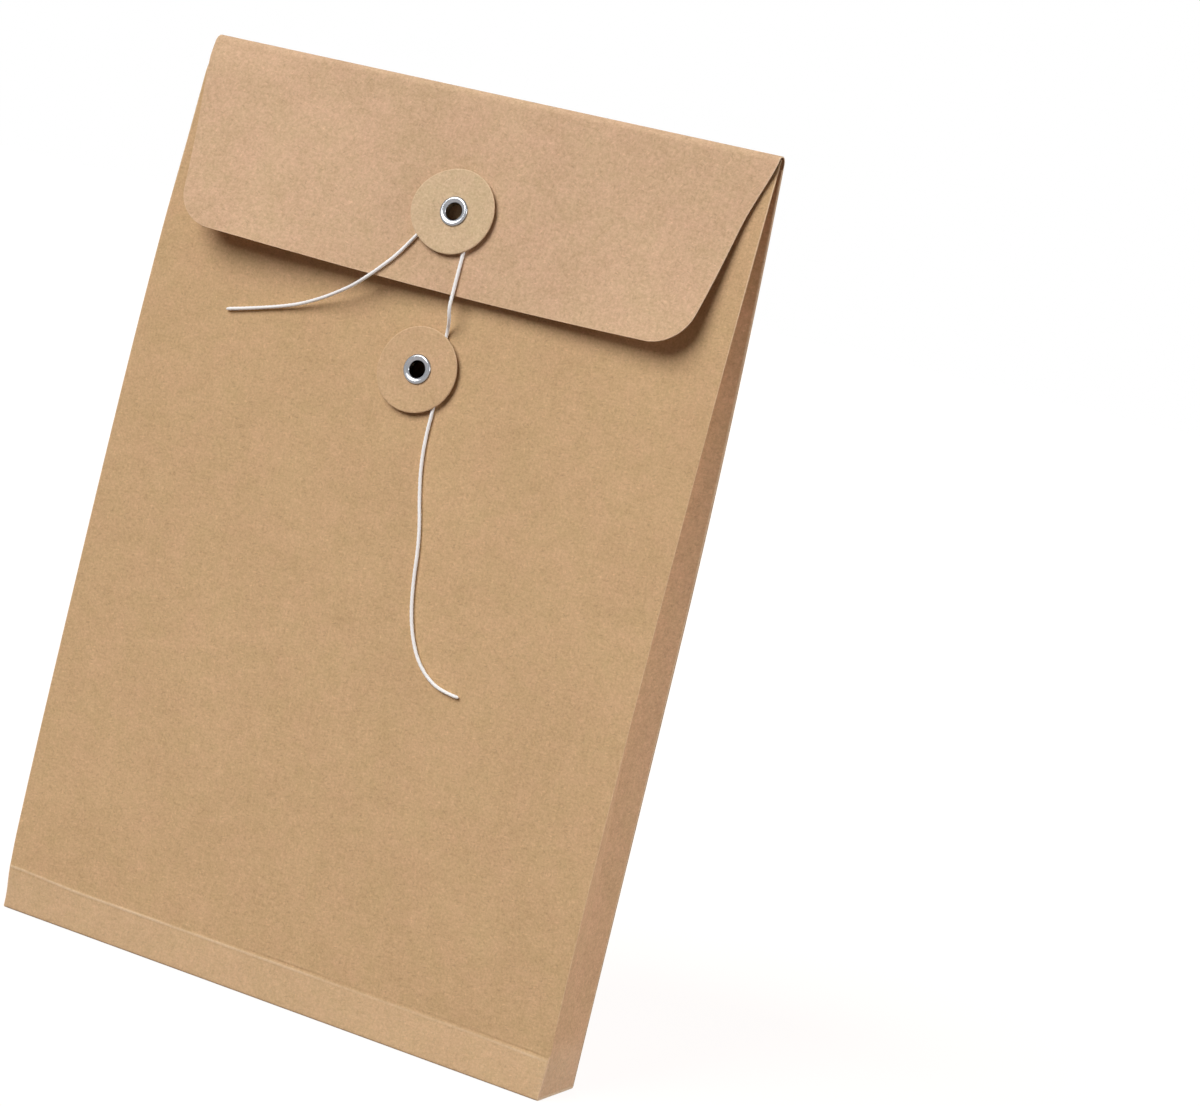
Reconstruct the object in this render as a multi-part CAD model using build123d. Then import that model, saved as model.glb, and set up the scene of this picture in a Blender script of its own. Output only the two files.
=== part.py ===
from build123d import *
import math
import os

os.makedirs("parts", exist_ok=True)

# A string tie envelope in kraft card, standing on its base, in millimetres.
# X runs across the front, -Y is the front, +Z is up, and the origin is the middle of the base.

# The pouch
pouch_width = 225.0
pouch_height = 330.0  # floor to the outside of the top fold
base_depth = 30.0  # front face to back face at the base
card = 0.4
crease_height = 15.0  # folding crease on the front, above the floor
back_straight = 150.0  # the back stands upright to here, then curves in to the fold
front_drop = 1.2  # front panel's top edge, below the fold's centre line
front_tuck = 0.9  # front face at that edge, ahead of the fold's centre line

# The soft fold along the top, and the flap that hangs from it
fold_radius = 3.0  # outside
fold_set_back = 0.3  # fold's centre line, behind the middle of the base
flap_length = 69.0
flap_end_width = 198.4
flap_corner = 15.0
flap_standoff = 7.7  # degrees that the closed flap hangs off the upright

# Glue tabs of the two gusset strips
side_tab_width = 12.0
side_tab_end = 4.0  # side tabs stop this short of the panels' ends
base_tab_length = 14.0
base_tab_end = 2.0  # base tabs stop this short of the front and the back

# The two card buttons and their eyelets
button_diameter = 30.5
button_card = 0.6
button_side = 2.0  # both buttons sit this far right of the middle
upper_button_drop = 41.2  # down the flap from the fold
lower_button_drop = 99.6  # down from the top of the fold
eyelet_hole = 6.0
eyelet_wall = 0.25
eyelet_flange = 10.0
eyelet_flange_height = 0.8
eyelet_lip = 0.3  # height of the flange's inner lip, where the dome starts
eyelet_clinch = 9.0
eyelet_clinch_height = 0.4

# The string
string_diameter = 1.3
string_bend_past_flap = 1.5  # the string bends this far past the flap's edge

# Clearances
string_room = 0.1  # each side of the string, under a button or on a panel
button_running = 0.06  # radial, button on its barrel
button_play = 0.08  # axial, button under the flange
eyelet_seat = 0.03  # barrel and clinch in their panel
crease_gap = 0.05  # between panels that fold on each other
leaf_gap = 0.1  # round each gusset leaf
gusset_sections = 9  # sections that each gusset leaf is lofted through

# Places worked out from the sizes above
half_width = pouch_width / 2
front_y = -base_depth / 2
back_y = base_depth / 2
fold_y = fold_set_back
fold_z = pouch_height - fold_radius
fold_centre = (fold_y, fold_z)
lower_button_height = pouch_height - lower_button_drop

back_reach = back_y - fold_y
back_rise = fold_z - back_straight
back_radius = (back_reach**2 + back_rise**2 - fold_radius**2) / (2 * (back_reach - fold_radius))
back_lean = math.degrees(math.asin(back_rise / (back_radius - fold_radius)))
back_centre = (back_y - back_radius, back_straight)

front_top_y = fold_y - front_tuck
front_top_z = fold_z - front_drop
front_reach = front_top_y - front_y
front_rise = front_top_z - crease_height
front_radius = (front_reach**2 + front_rise**2) / (2 * front_reach)
front_centre = (front_y + front_radius, crease_height)

barrel_radius = eyelet_hole / 2 + eyelet_wall
string_radius = string_diameter / 2
string_lift = string_radius + string_room  # string's centre line above the card it lies on
button_lift = string_diameter + 2 * string_room  # a button's underside above its panel
leaf_width = base_depth / 2 - 3 * card - leaf_gap


def front_face(z):
    """Y of the front's outer face: upright to the crease, then an arc back to the fold."""
    rise = max(0.0, z - crease_height)
    return front_centre[0] - math.sqrt(front_radius**2 - rise**2)


def back_face(z):
    """Y of the back's outer face: upright to back_straight, then an arc in to the fold."""
    rise = max(0.0, z - back_straight)
    return back_centre[0] + math.sqrt(back_radius**2 - rise**2)


def front_angle(z):
    """Angle about front_centre, from +Y, of the front at height z."""
    return 180 - math.degrees(math.asin((z - crease_height) / front_radius))


def back_angle(z):
    """Angle about back_centre, from +Y, of the back at height z."""
    return math.degrees(math.asin((z - back_straight) / back_radius))


def on_circle(x, centre, radius, angle):
    """Point at an angle from +Y on a circle in a plane across X."""
    turn = math.radians(angle)
    return (x, centre[0] + radius * math.cos(turn), centre[1] + radius * math.sin(turn))


def circle_arc(x, centre, radius, start, end):
    """Arc of that circle from one angle to another."""
    return ThreePointArc(*(on_circle(x, centre, radius, a) for a in (start, (start + end) / 2, end)))


def across(edges, width):
    """Solid of a closed outline in a plane across X, carried along +X."""
    return extrude(make_face(edges), amount=width, dir=(1, 0, 0))


def bent_sheet(x_low, x_high, centre, outside, inside, start, end):
    """Sheet bent round one axis along X, between two radii and two angles."""
    outer = circle_arc(x_low, centre, outside, start, end)
    inner = circle_arc(x_low, centre, inside, end, start)
    edges = [outer, Line(outer @ 1, inner @ 0), inner, Line(inner @ 1, outer @ 0)]
    return across(edges, x_high - x_low)


def back_sheet(x_low, x_high, z_low, top_angle, inset):
    """Sheet of one card that follows the back, inset from its outer face."""
    outer_y = back_y - inset
    inner_y = outer_y - card
    outer = circle_arc(x_low, back_centre, back_radius - inset, 0, top_angle)
    inner = circle_arc(x_low, back_centre, back_radius - inset - card, top_angle, 0)
    edges = [
        Line((x_low, outer_y, z_low), outer @ 0),
        outer,
        Line(outer @ 1, inner @ 0),
        inner,
        Line(inner @ 1, (x_low, inner_y, z_low)),
        Line((x_low, inner_y, z_low), (x_low, outer_y, z_low)),
    ]
    return across(edges, x_high - x_low)


def slab(low, high):
    """Box between two corners."""
    size = [b - a for a, b in zip(low, high)]
    middle = [(a + b) / 2 for a, b in zip(low, high)]
    return Pos(*middle) * Box(*size)


def plane_on_flap(x, drop):
    """Plane on the closed flap's outer face, drop below the fold, with Z outwards and Y up the flap."""
    tilt = math.radians(flap_standoff)
    outwards = Vector(0, -math.cos(tilt), math.sin(tilt))
    down = Vector(0, -math.sin(tilt), -math.cos(tilt))
    origin = Vector(x, fold_y, fold_z) + outwards * fold_radius + down * drop
    return Plane(origin=origin, x_dir=(1, 0, 0), z_dir=outwards)


def plane_on_front(x, z):
    """Plane on the front's outer face at height z, with Z outwards."""
    lean = math.radians(180 - front_angle(z))
    outwards = (0, -math.cos(lean), math.sin(lean))
    return Plane(origin=(x, front_face(z), z), x_dir=(1, 0, 0), z_dir=outwards)


def make_flap():
    """The flap: it tapers to its lower edge, with two rounded corners and the eyelet's hole."""
    root = plane_on_flap(0, crease_gap)
    length = flap_length - crease_gap
    end_half = flap_end_width / 2
    corners = [(half_width, 0), (end_half, -length), (-end_half, -length), (-half_width, 0)]
    outline = make_face(Polyline(*corners, close=True))
    lower_corners = outline.vertices().sort_by(Axis.Y)[:2]
    outline = fillet(lower_corners, flap_corner)
    return extrude(root * outline, amount=-card) - eyelet_bore(upper_seat)


def eyelet_bore(seat):
    """Cutter for an eyelet's barrel through the panel that seat lies on."""
    return seat * Cylinder(barrel_radius + eyelet_seat, 6 * card)


def make_eyelet(seat):
    """Rolled eyelet: domed flange over the button, barrel through the panel, clinched edge behind it."""
    bore = eyelet_hole / 2
    under_flange = button_lift + button_card + button_play
    flange = eyelet_flange / 2
    clinch = eyelet_clinch / 2
    behind = -card - eyelet_seat
    foot = behind - eyelet_clinch_height
    dome_top = ((bore + flange) / 2, 0, under_flange + eyelet_flange_height)
    clinch_low = ((bore + clinch) / 2, 0, foot)
    lip = (bore, 0, under_flange + eyelet_lip)
    edges = [
        Line((bore, 0, behind), lip),
        ThreePointArc(lip, dome_top, (flange, 0, under_flange)),
        Line((flange, 0, under_flange), (barrel_radius, 0, under_flange)),
        Line((barrel_radius, 0, under_flange), (barrel_radius, 0, behind)),
        Line((barrel_radius, 0, behind), (clinch, 0, behind)),
        ThreePointArc((clinch, 0, behind), clinch_low, (bore, 0, behind)),
    ]
    return seat * revolve(make_face(edges), axis=Axis.Z)


def make_button(seat):
    """Card disc that turns on an eyelet's barrel, with room for the string under it."""
    disc = Cylinder(button_diameter / 2, button_card)
    disc -= Cylinder(barrel_radius + button_running, 2 * button_card)
    return seat * Pos(0, 0, button_lift + button_card / 2) * disc


def gusset_half_depth(z):
    """Half of the room that the two leaves of a gusset have between their glue tabs."""
    return (back_face(z) - front_face(z)) / 2 - 3 * card - leaf_gap


def leaf_section(z, side):
    """Section at height z of a right-hand gusset leaf, side -1 for the front one and +1 for the back one.

    The leaf keeps its width, so its inner edge goes in as the two panels come together."""
    half_depth = gusset_half_depth(z)
    fold_in = math.sqrt(max(0.0, leaf_width**2 - half_depth**2))
    middle = (front_face(z) + back_face(z)) / 2
    panel_edge = Vector(half_width, middle + side * half_depth, z)
    inner_edge = Vector(half_width - fold_in, middle + side * leaf_gap / 2, z)
    thickness = Vector(-half_depth, side * fold_in, 0) * (card / leaf_width)
    corners = [panel_edge, inner_edge, inner_edge + thickness, panel_edge + thickness]
    return Wire.make_polygon(corners, close=True)


def make_leaf(side):
    """Right-hand gusset leaf, upright to the crease and folding in from there to the top."""
    top = front_top_z - leaf_gap
    steps = gusset_sections - 2
    heights = [card] + [crease_height + (top - crease_height) * n / steps for n in range(steps + 1)]
    return Solid.make_loft([leaf_section(z, side) for z in heights], ruled=True)


def make_side_tabs():
    """Right-hand gusset's glue tabs, on the inner faces of the front and the back."""
    inner_edge = half_width - side_tab_width
    low = crease_height + side_tab_end
    high = front_top_z - side_tab_end
    outside = front_radius - card
    ends = (front_angle(low), front_angle(high))
    front = bent_sheet(inner_edge, half_width, front_centre, outside, outside - card, *ends)
    back = back_sheet(inner_edge, half_width, low, back_angle(high), card)
    return front, back


def make_base_tab():
    """Right-hand gusset's glue tab, on top of the bottom panel."""
    outer = half_width - card - leaf_gap
    low = (outer - base_tab_length, front_y + card + base_tab_end, card)
    high = (outer, back_y - card - base_tab_end, 2 * card)
    return slab(low, high)


def make_string(name, points):
    """Tube along points, with an arc at each corner as large as the two runs beside it allow."""
    points = [Vector(*p) for p in points]
    runs = [b - a for a, b in zip(points, points[1:])]
    radii = []
    for before, after in zip(runs, runs[1:]):
        half_turn = math.radians(before.get_angle(after)) / 2
        radii.append(0.45 * min(before.length, after.length) / math.tan(half_turn))
    path = FilletPolyline(*points, radius=radii)
    tube = sweep(Plane(origin=path @ 0, z_dir=path % 0) * Circle(string_radius), path=path)
    share = tube.volume / (math.pi * string_radius**2 * path.length)
    print(name, "length", round(path.length, 1), "least radius", round(min(radii), 2))
    print("  radii", [round(r, 1) for r in radii], "volume share", round(share, 4))
    return tube


def along_flap(points):
    """Points of the string's centre line on the flap, from places across it and drops below the fold."""
    return [plane_on_flap(x, drop).origin + plane_on_flap(x, drop).z_dir * string_lift for x, drop in points]


def off_front(points):
    """Points of the string's centre line from places across the front, heights and lifts off its face."""
    return [(x, front_face(z) - lift, z) for x, z, lift in points]


# Panels of the one sheet
upper_seat = plane_on_flap(button_side, upper_button_drop)
lower_seat = plane_on_front(button_side, lower_button_height)
inner_front = front_y + card
inner_back = back_y - card

back_panel = back_sheet(-half_width, half_width, 0, back_lean, 0)
bottom_panel = slab((-half_width, inner_front, 0), (half_width, inner_back, card))
front_base_band = slab((-half_width, front_y, 0), (half_width, inner_front, crease_height - crease_gap))
front_top_angle = front_angle(front_top_z)
front_inside = front_radius - card
front_panel = bent_sheet(-half_width, half_width, front_centre, front_radius, front_inside, 180, front_top_angle)
front_panel -= eyelet_bore(lower_seat)
fold_inside = fold_radius - card
fold_end = 180 - flap_standoff
top_fold = bent_sheet(-half_width, half_width, fold_centre, fold_radius, fold_inside, back_lean, fold_end)

# The string's route. Its middle goes half round the upper eyelet's barrel, under the button.
bend_drop = flap_length + string_bend_past_flap
short_side_bend = (-23.3, bend_drop)
long_side_bend = (9.9, bend_drop)
turn_route = along_flap(
    [
        short_side_bend,
        (-19.0, 65.6),
        (-14.4, 59.6),
        (-8.6, 50.8),
        (-4.0, 42.8),
        (-1.3, 37.3),
        (4.9, 36.5),
        (7.7, 41.9),
        (9.7, 50.6),
        (9.9, 60.7),
        long_side_bend,
    ]
)
# The short end falls to the left, off the flap and on to the front.
tail_route = along_flap([short_side_bend, (-25.9, 73.5)]) + off_front(
    [
        (-33.0, 251.2, 6.8),
        (-40.6, 247.1, 4.2),
        (-49.4, 243.1, 2.3),
        (-56.7, 240.6, 1.3),
        (-63.9, 238.3, 0.9),
        (-71.8, 236.1, string_lift),
        (-79.6, 234.2, string_lift),
    ]
)
# The long end drops behind the lower button, comes out below it and hangs down the front.
run_route = along_flap([long_side_bend, (10.0, 74.3)]) + off_front(
    [
        (10.0, 250.1, 4.9),
        (8.8, 246.3, 0.8),
        (8.9, 238.6, string_lift),
        (10.4, 228.5, string_lift),
        (11.3, 218.5, string_lift),
        (11.2, 208.5, string_lift),
        (12.3, 197.8, string_lift),
        (14.8, 187.3, string_lift),
        (17.6, 178.0, string_lift),
        (19.3, 169.6, string_lift),
        (20.4, 160.3, string_lift),
        (22.3, 149.8, string_lift),
        (25.2, 140.9, string_lift),
        (29.3, 133.4, string_lift),
        (34.6, 128.2, string_lift),
        (41.2, 124.9, string_lift),
        (48.4, 124.5, string_lift),
    ]
)

nodes = {
    "back_panel": back_panel,
    "bottom_panel": bottom_panel,
    "front_base_band": front_base_band,
    "front_panel": front_panel,
    "top_fold": top_fold,
    "flap": make_flap(),
    "upper_button": make_button(upper_seat),
    "lower_button": make_button(lower_seat),
    "upper_eyelet": make_eyelet(upper_seat),
    "lower_eyelet": make_eyelet(lower_seat),
    "string_turn": make_string("string_turn", turn_route),
    "string_tail": make_string("string_tail", tail_route),
    "string_run": make_string("string_run", run_route),
}

# The two gusset strips, the left one a mirror of the right one
front_tab, back_tab = make_side_tabs()
gusset_strip = {
    "gusset_front_leaf": make_leaf(-1),
    "gusset_back_leaf": make_leaf(1),
    "gusset_front_tab": front_tab,
    "gusset_back_tab": back_tab,
    "gusset_base_tab": make_base_tab(),
}
for piece_name, piece in gusset_strip.items():
    nodes["right_" + piece_name] = piece
    nodes["left_" + piece_name] = mirror(piece, about=Plane.YZ)

for node_name, solid in nodes.items():
    export_step(solid, f"parts/{node_name}.step")

print("back radius", round(back_radius, 1), "lean at the fold", round(back_lean, 2))
print("front radius", round(front_radius, 1))
print("flap hinge", [round(v, 3) for v in (0, fold_y, fold_z)])
print("string bend", [round(v, 3) for v in turn_route[-1]])
print("upper seat", upper_seat.origin, upper_seat.z_dir)
print("lower seat", lower_seat.origin, lower_seat.z_dir)
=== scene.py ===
import math

import bpy
import numpy as np
from mathutils import Matrix


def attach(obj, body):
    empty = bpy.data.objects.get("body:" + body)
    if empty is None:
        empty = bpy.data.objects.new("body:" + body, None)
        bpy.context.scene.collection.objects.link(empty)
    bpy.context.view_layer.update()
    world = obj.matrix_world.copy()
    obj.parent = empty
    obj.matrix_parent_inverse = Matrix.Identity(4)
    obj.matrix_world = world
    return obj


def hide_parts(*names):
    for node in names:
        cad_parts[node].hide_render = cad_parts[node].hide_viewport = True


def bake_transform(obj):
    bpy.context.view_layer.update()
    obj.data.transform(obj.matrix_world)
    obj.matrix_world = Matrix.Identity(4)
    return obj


# A string tie envelope in kraft card: the looks of the solids that part.py makes, in their frame.
# Lengths are in millimetres, as in part.py, and MM takes them to metres.
MM = 0.001

# Sizes repeated from part.py
HALF_WIDTH = 112.5
BASE_HALF = 15.0
CARD = 0.4
CREASE = 15.0
BACK_STRAIGHT = 150.0
BACK_RADIUS = 1347.69
BACK_LEAN = math.radians(7.564)
FRONT_RADIUS = 3361.34
FRONT_TOP = 325.8
FOLD_Y = 0.3
FOLD_Z = 327.0
FOLD_RADIUS = 3.0
FLAP_TILT = math.radians(7.7)
FLAP_LENGTH = 69.0
FLAP_END_HALF = 99.2
FLAP_CORNER = 15.0
BUTTON_X = 2.0
BUTTON_DROP = 41.2
BUTTON_HEIGHT = 230.4
BUTTON_RADIUS = 15.25
BUTTON_CARD = 0.6
BUTTON_LIFT = 1.5
BORE_RADIUS = 3.0
BARREL_RADIUS = 3.25
FLANGE_RADIUS = 5.0
CLINCH_RADIUS = 4.5
STRING_RADIUS = 0.65
STRING_LIFT = 0.75
BEND_DROP = 70.5

# Sizes of the looks alone
BASE_BEND = 0.8  # outside radius of the folds along the base
EYELET_CUT = 3.7  # card is cut back this far round an eyelet, under its button
GUSSET_BEND = 0.25  # outside radius of the folds between a gusset and its glue tabs
GUSSET_SET_BACK = 0.5  # a gusset's front fold, in from the front's cut edge
FOOT = (14.0, 28.0)  # heights between which each corner goes from a soft fold to a cut edge
DENT_LEFT = 0.3  # the crease's left end lies this far in from a straight front
DENT_RIGHT = 2.0  # and its right end
DENT_FADE = 40.0  # the dent dies away over this height above the crease
FRONT_EDGE = 328.7  # height of the front's top edge, inside the fold
TRUE_FROM = 316.0  # from this height to its top edge the front's sides come back to true
LEFT_REACH = 1.3  # the front's left edge, to the left of true
LEFT_REACH_RISE = (3.0, 16.0)  # heights over which that grows
RIGHT_REACH = 0.4  # the front's upper right edge, to the right of true
RIGHT_REACH_RISE = (240.0, 300.0)
LEFT_BULGE = 1.9  # the front's upper left edge, out from its arc
LEFT_BULGE_RISE = (95.0, 265.0)
LEFT_BULGE_EASE = (255.0, 297.0)  # heights over which it loses LEFT_BULGE_LOSS of itself
LEFT_BULGE_LOSS = 0.36
RIGHT_BULGE = 1.0  # the front's upper right edge, out from its arc
RIGHT_BULGE_RISE = (230.0, 300.0)
RIDGE_DROP = 0.75  # the worn ridge, below the crease
RIDGE_OUT = 0.16  # how far it stands out
RIDGE_SPREAD = 0.55  # and about half of its width
GROOVE_RISE = 1.15  # the groove, above the ridge
GROOVE_IN = 0.13
GROOVE_SPREAD = 0.33
SECOND_RISE = 1.95  # the second ridge, above the first
SECOND_OUT = 0.1
SECOND_SPREAD = 0.4
FOLD_SWELL = 1.8  # the flap's upper left end, out in front
FOLD_INSET = 0.4  # the fold's left end, in from true at its crown
FLAP_SKEW = 0.8  # the flap's edge, to the left of true
FLAP_PINCH = 1.8  # the flap's right edge, in from its taper
PINCH_RISE = (0.0, 24.0)  # drops over which the pinch grows
PINCH_EASE = (15.0, 60.0)  # and over which it loses half
FLAP_BOW = 0.09  # slope at which the flap stands off its plane, to each side of its nearest place
BOW_MIDDLE = 25.0  # that place, right of the middle
BOW_ROUND = 20.0  # how softly the two slopes meet there
BOW_WHOLE = 34.0  # the bow is whole from this far round the upper button, and nothing under it
LEFT_CURL = 1.2  # the flap's left half, further off its plane
LEFT_CURL_SPAN = (28.0, 72.0)  # left of the middle, where that grows
FLAP_DROOP = 0.45  # the flap's edge, down where it is nearest
DROOP_HALF = 64.0  # the droop is gone this far to each side of that place
STRING_FALL = 12.0  # past the flap's edge the string comes in from the bow over this length
BRIM_REACH = 0.3  # an eyelet's rolled brim, past its flange
BRIM_ROLL = 0.8  # width of the brim's outer curve
GUSSET_TAB = 11.2  # width of the gussets' tabs behind the front and on the back
BASE_TAB_X = (97.9, 111.9)
BASE_TAB_HALF = 12.6
GAP = 0.03  # between a panel and what lies behind it
BARREL_ROOM = 0.06  # round an eyelet's barrel in its button
# Each button's lie: the way that its wide side faces, how far that is out of round, and how far curled off
ROUND = ((0.0, 0.0), 0.0, 0.0)
UPPER_LIE = ((-1.0, 0.0), 1.1, 1.2)
LOWER_LIE = ((-0.7, -0.7), 0.8, 0.3)

# The string's path and plies
PATH_STEP = 0.25  # from place to place along the path
PLY_PITCH = 3.2  # length of string in which the plies go once round
PLY_GROOVE = 0.045  # half of the groove's depth, as a share of the string's radius

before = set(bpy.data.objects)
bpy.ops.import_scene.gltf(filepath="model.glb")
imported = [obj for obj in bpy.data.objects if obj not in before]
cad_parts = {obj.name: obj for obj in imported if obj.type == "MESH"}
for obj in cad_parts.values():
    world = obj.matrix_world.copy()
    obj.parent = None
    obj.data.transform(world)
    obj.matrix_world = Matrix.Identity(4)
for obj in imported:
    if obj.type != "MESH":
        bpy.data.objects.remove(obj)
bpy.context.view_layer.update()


# Camera


def set_camera():
    """Camera at the photograph's place, fitted to its corners, fold, crease and flap."""
    right = (0.885455, 0.402301, 0.232643)
    up = (-0.249196, -0.011524, 0.968385)
    back = (0.392263, -0.915435, 0.090047)
    place = (0.488329, -0.949609, 0.278262)
    data = bpy.data.cameras.new("photo_camera")
    data.sensor_width = 36
    data.lens = 90.655
    camera = bpy.data.objects.new("photo_camera", data)
    rows = [[right[i], up[i], back[i], place[i]] for i in range(3)]
    camera.matrix_world = Matrix(rows + [[0, 0, 0, 1]])
    bpy.context.scene.collection.objects.link(camera)
    bpy.context.scene.camera = camera


# Places on the envelope


def front_face(z):
    """Y of the front's outer face: upright to the crease, then an arc back to the fold."""
    rise = np.maximum(0.0, z - CREASE)
    return FRONT_RADIUS - BASE_HALF - np.sqrt(FRONT_RADIUS**2 - rise**2)


def back_face(z):
    """Y of the back's outer face: upright, then an arc in to the fold."""
    rise = np.maximum(0.0, z - BACK_STRAIGHT)
    return BASE_HALF - BACK_RADIUS + np.sqrt(BACK_RADIUS**2 - rise**2)


def on_flap(x, drop, lift=0.0):
    """Points on the closed flap: across it, down it from the fold, and lifted off its outer face."""
    out = FOLD_RADIUS + lift
    y = FOLD_Y - out * math.cos(FLAP_TILT) - drop * math.sin(FLAP_TILT)
    z = FOLD_Z + out * math.sin(FLAP_TILT) - drop * math.cos(FLAP_TILT)
    return np.stack(np.broadcast_arrays(x, y, z), axis=-1).astype(float)


def smooth(value, low, high):
    """Soft step from 0 at low to 1 at high."""
    share = np.clip((value - low) / (high - low), 0, 1)
    return share * share * (3 - 2 * share)


def front_shift(x, z):
    """How far the front lies in from its arc: pushed in along the crease, more so to the right, and standing
    out along the upper parts of its two sides."""
    depth = DENT_LEFT + (DENT_RIGHT - DENT_LEFT) * (x + HALF_WIDTH) / (2 * HALF_WIDTH)
    dent = depth * np.where(z < CREASE, z / CREASE, np.exp((CREASE - np.maximum(z, CREASE)) / DENT_FADE))
    left = LEFT_BULGE * smooth(-x, 20, HALF_WIDTH) * smooth(z, *LEFT_BULGE_RISE)
    left = left * (1 - LEFT_BULGE_LOSS * smooth(z, *LEFT_BULGE_EASE))
    right = RIGHT_BULGE * smooth(x, 50, HALF_WIDTH) * smooth(z, *RIGHT_BULGE_RISE)
    return dent - (left + right) * (1 - smooth(z, TRUE_FROM, FRONT_EDGE))


def edge_reach(x, z):
    """How far the front's sides reach out past true: the left one from the foot up, the right one near
    the top."""
    left = LEFT_REACH * smooth(-x, 40, HALF_WIDTH) * smooth(z, *LEFT_REACH_RISE)
    right = RIGHT_REACH * smooth(x, 40, HALF_WIDTH) * smooth(z, *RIGHT_REACH_RISE)
    return (right - left) * (1 - smooth(z, TRUE_FROM, FRONT_EDGE))


def off_front(points):
    """Points from places across the front, heights and lifts off its face."""
    x, z, lift = np.array(points).T
    return np.stack([x, front_face(z) + front_shift(x, z) - lift, z], axis=-1)


def flap_bow(x, drop):
    """How far the flap stands off its plane: two slopes up to its corners, which meet softly in a hollow
    right of the middle, and nothing under the button. The left one grows down the flap and the right one
    curls at the end."""
    down = drop / FLAP_LENGTH
    at_button = math.hypot(BUTTON_X - BOW_MIDDLE, BOW_ROUND)
    left = FLAP_BOW * (np.hypot(np.minimum(x - BOW_MIDDLE, 0), BOW_ROUND) - at_button)
    left = left + LEFT_CURL * smooth(-x, *LEFT_CURL_SPAN)
    right = FLAP_BOW * (np.hypot(np.maximum(x - BOW_MIDDLE, 0), BOW_ROUND) - BOW_ROUND)
    from_button = np.hypot(x - BUTTON_X, drop - BUTTON_DROP)
    return (left * down**1.3 + right * down**3.2) * smooth(from_button, BUTTON_RADIUS, BOW_WHOLE)


def flap_half_width(drop):
    """Half of the flap's width: a straight taper that ends in a rounded corner."""
    taper = math.atan2(HALF_WIDTH - FLAP_END_HALF, FLAP_LENGTH)
    centre_x = FLAP_END_HALF - FLAP_CORNER / math.tan((math.pi / 2 + taper) / 2)
    past = np.clip(drop - (FLAP_LENGTH - FLAP_CORNER), 0, FLAP_CORNER)
    straight = HALF_WIDTH - (HALF_WIDTH - FLAP_END_HALF) * drop / FLAP_LENGTH
    rounded = centre_x + np.sqrt(FLAP_CORNER**2 - past**2)
    return np.where(past > FLAP_CORNER * math.sin(taper), rounded, straight)


UPPER_SEAT = (on_flap(BUTTON_X, BUTTON_DROP), np.array([0, -math.cos(FLAP_TILT), math.sin(FLAP_TILT)]))
LOWER_LEAN = math.asin((BUTTON_HEIGHT - CREASE) / FRONT_RADIUS)
LOWER_SEAT = (
    np.array([BUTTON_X, front_face(BUTTON_HEIGHT), BUTTON_HEIGHT]),
    np.array([0, -math.cos(LOWER_LEAN), math.sin(LOWER_LEAN)]),
)


# Node helpers for the materials


def new_material(name):
    """Material with a Principled surface: the material, its tree and that node."""
    material = bpy.data.materials.new(name)
    material.use_nodes = True
    tree = material.node_tree
    return material, tree, tree.nodes["Principled BSDF"]


def add(tree, kind, inputs=None, **settings):
    """Node of that kind, with its inputs set to values or joined to sockets."""
    node = tree.nodes.new(kind)
    for name, value in settings.items():
        setattr(node, name, value)
    for key, value in (inputs or {}).items():
        put(tree, node.inputs[key], value)
    return node


def put(tree, socket, value):
    """Sets a socket to a value, or joins it to another socket."""
    if isinstance(value, bpy.types.NodeSocket):
        tree.links.new(value, socket)
    else:
        socket.default_value = value


def maths(tree, operation, a, b=0.0, clamp=False):
    """Result of one sum on two numbers or sockets."""
    return add(tree, "ShaderNodeMath", {0: a, 1: b}, operation=operation, use_clamp=clamp).outputs[0]


def noise(tree, place, scale, detail=3.0, roughness=0.6, distortion=0.0):
    """Noise from 0 to 1 at a place."""
    inputs = {
        "Vector": place,
        "Scale": scale,
        "Detail": detail,
        "Roughness": roughness,
        "Distortion": distortion,
    }
    return add(tree, "ShaderNodeTexNoise", inputs).outputs["Fac"]


def mixed(tree, factor, a, b):
    """Colour a to colour b by a factor."""
    node = add(tree, "ShaderNodeMix", data_type="RGBA")
    put(tree, node.inputs[0], factor)
    put(tree, node.inputs[6], a)
    put(tree, node.inputs[7], b)
    return node.outputs[2]


def multiplied(tree, a, b):
    """Colour a times colour b."""
    node = add(tree, "ShaderNodeMix", data_type="RGBA", blend_type="MULTIPLY")
    put(tree, node.inputs[0], 1.0)
    put(tree, node.inputs[6], a)
    put(tree, node.inputs[7], b)
    return node.outputs[2]


def spread(tree, value, low, high, start, end):
    """Value carried from the range low to high on to the range start to end, and kept inside it."""
    inputs = {"Value": value, "From Min": low, "From Max": high, "To Min": start, "To Max": end}
    return add(tree, "ShaderNodeMapRange", inputs).outputs["Result"]


def weighted(tree, base, terms):
    """Base plus each noise, less its middle value of a half, times its weight."""
    total = base
    for socket, weight in terms:
        swing = maths(tree, "MULTIPLY", maths(tree, "SUBTRACT", socket, 0.5), weight)
        total = maths(tree, "ADD", total, swing)
    return total


def stretched(tree, place, factors):
    """Place with each axis scaled by its factor."""
    return add(tree, "ShaderNodeVectorMath", {0: place, 1: factors}, operation="MULTIPLY").outputs[0]


# Materials


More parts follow.
